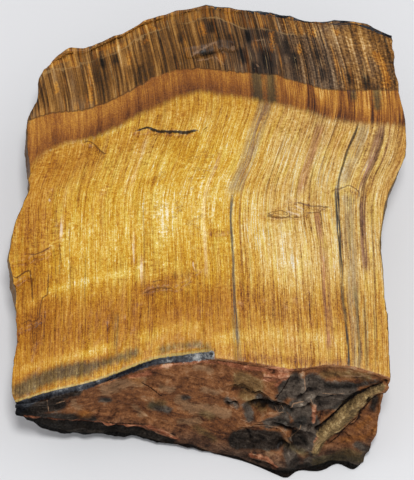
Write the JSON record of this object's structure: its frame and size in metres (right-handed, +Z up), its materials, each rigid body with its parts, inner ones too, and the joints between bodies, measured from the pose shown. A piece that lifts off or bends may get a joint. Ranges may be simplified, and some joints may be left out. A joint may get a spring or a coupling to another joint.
{
  "type": "rough tigers eye",
  "caption": "Palm-sized block of rough tiger's eye lying flat: a golden fibrous upper face, dark banded far rim and broken jasper near end.",
  "frame": {"origin": "middle of the stone's outline, on the surface that it rests on", "axes": "+Z up, out of the fibrous upper face; +Y along the fibres, from the jasper end to the dark banded end; +X to the right seen from the jasper end"},
  "size_m": [0.0811, 0.0971, 0.0288],
  "materials": {
    "tigers_eye": "rough, fibrous, silky in places"
  },
  "bodies": {
    "root": {"rough_stone": "tigers_eye"}
  },
  "joints": []
}
